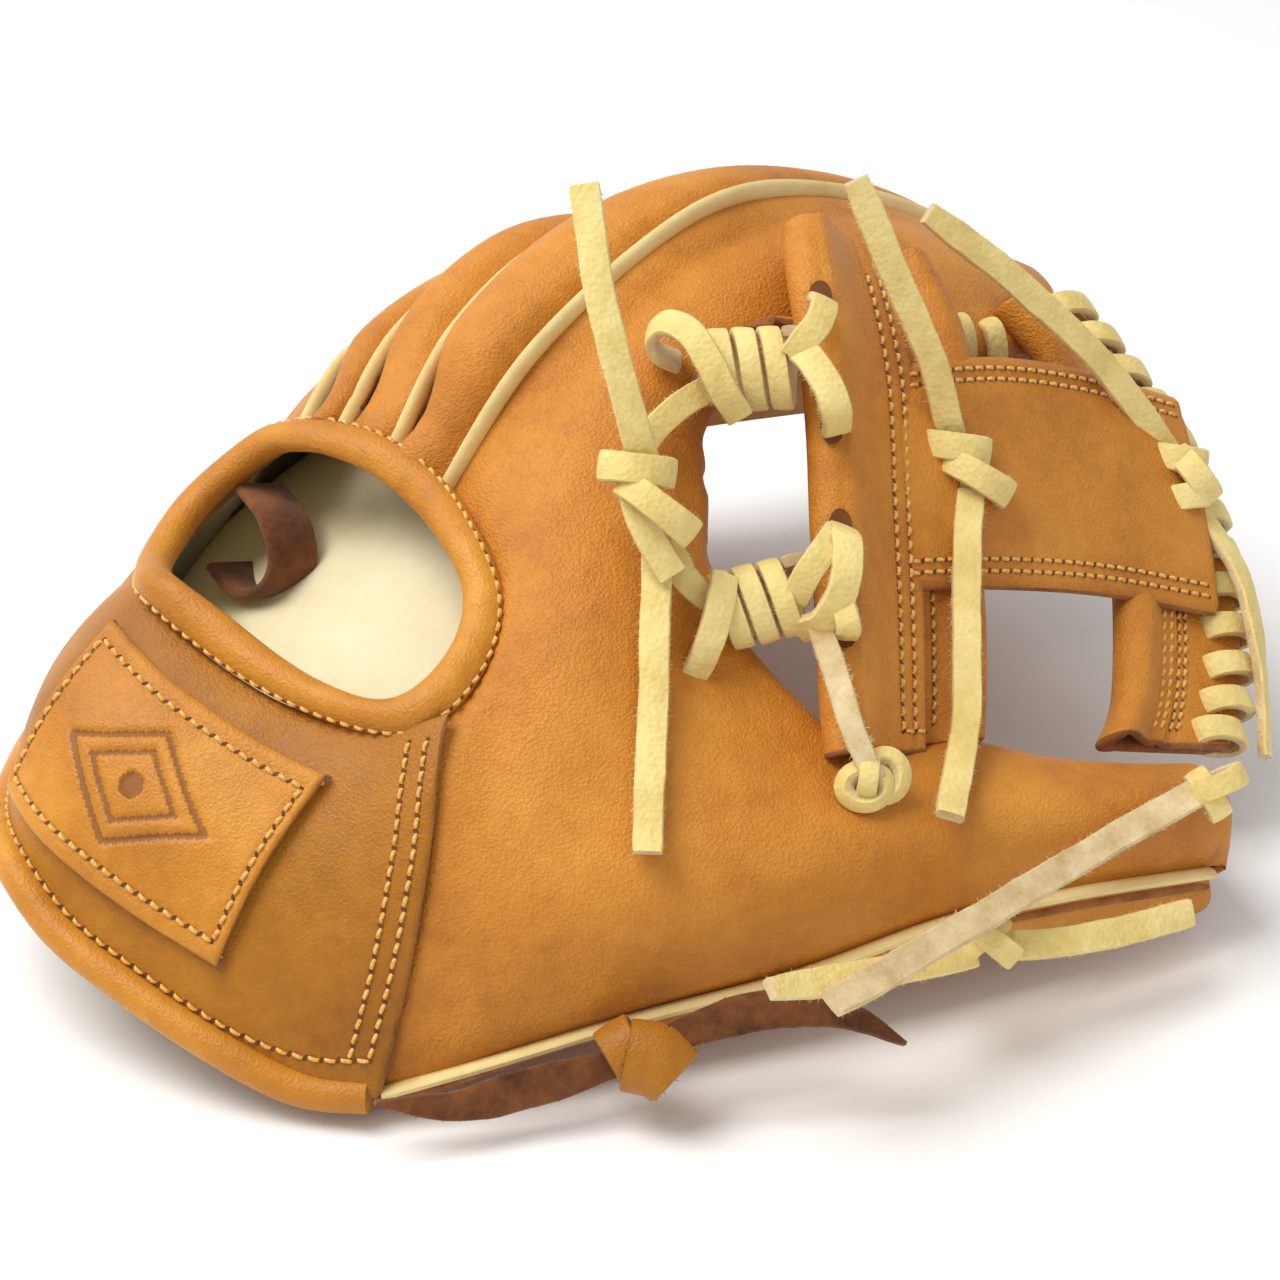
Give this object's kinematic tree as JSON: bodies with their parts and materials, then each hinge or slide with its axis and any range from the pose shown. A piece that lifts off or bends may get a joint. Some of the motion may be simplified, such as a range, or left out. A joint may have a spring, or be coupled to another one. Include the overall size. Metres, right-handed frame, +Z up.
{
  "type": "baseball glove",
  "caption": "Open-back fielding glove for the left hand: leather panels, welts, laced I-shaped web, wrist strap and a thumb side that folds towards the fingers.",
  "frame": {"origin": "centre of the bounding box of the glove without its free lace tails, at the table it rests on", "axes": "+X from heel to fingertips, +Y from thumb to little finger, +Z up from the table, the pocket facing down"},
  "size_m": [0.2963, 0.2494, 0.161],
  "materials": {
    "brown_suede": "suede",
    "cream_lace": "smooth rawhide",
    "cream_lining": "soft, matt",
    "felt_grey": "felt",
    "strap_leather": "satin, fine grain",
    "tan_leather": "satin, fine grain"
  },
  "bodies": {
    "hand": {"hand_back": "tan_leather", "middle_back": "tan_leather", "ring_back": "tan_leather", "little_back": "tan_leather", "little_side": "tan_leather", "index_welt": "cream_lace", "middle_welt": "cream_lace", "ring_welt": "cream_lace", "little_welt": "cream_lace", "edge_welt": "cream_lace", "palm_leather": "tan_leather", "palm_pad": "felt_grey", "palm_lining": "cream_lining", "back_lining": "cream_lining", "stall_walls": "cream_lining", "little_finger_loop": "strap_leather", "wrist_strap": "strap_leather", "strap_lining": "cream_lining", "strap_patch": "tan_leather", "opening_binding": "tan_leather", "heel_binding": "strap_leather", "heel_lace": "brown_suede", "web_base": "tan_leather", "web_post": "tan_leather", "web_top": "tan_leather", "web_edge_lace": "cream_lace", "upper_coil": "cream_lace", "lower_coil": "cream_lace", "coil_core": "cream_lace", "fingertip_lace": "cream_lace", "index_side_lace": "cream_lace", "coil_knot": "cream_lace", "post_knot": "cream_lace", "top_knot": "cream_lace", "bar_knot": "cream_lace", "coil_knot_tail_up": "cream_lace", "coil_knot_tail_down": "cream_lace", "post_knot_tail_up": "cream_lace", "post_knot_tail_down": "cream_lace", "top_knot_tail_up": "cream_lace", "top_knot_tail_down": "cream_lace", "bar_knot_tail": "cream_lace"},
    "thumb": {"thumb_back": "tan_leather", "thumb_palm": "tan_leather", "thumb_lining": "cream_lining", "thumb_pad": "felt_grey", "thumb_welt": "cream_lace", "thumb_loop": "strap_leather", "thumb_tip_knot": "cream_lace", "thumb_loop_knot": "cream_lace", "thumb_tip_knot_tail": "cream_lace", "thumb_loop_knot_tail_out": "cream_lace", "thumb_loop_knot_tail_in": "cream_lace", "heel_knot": "strap_leather", "heel_knot_tail_in": "strap_leather", "heel_knot_tail_out": "strap_leather"}
  },
  "joints": [
    {"name": "thumb_fold", "type": "hinge", "parent": "hand", "child": "thumb", "pos_m": [-0.0584, -0.0585, 0.0296], "axis": [0.8715, 0.1168, 0.4762], "range_deg": [0, 18], "stiffness_Nm_per_rad": 2}
  ]
}
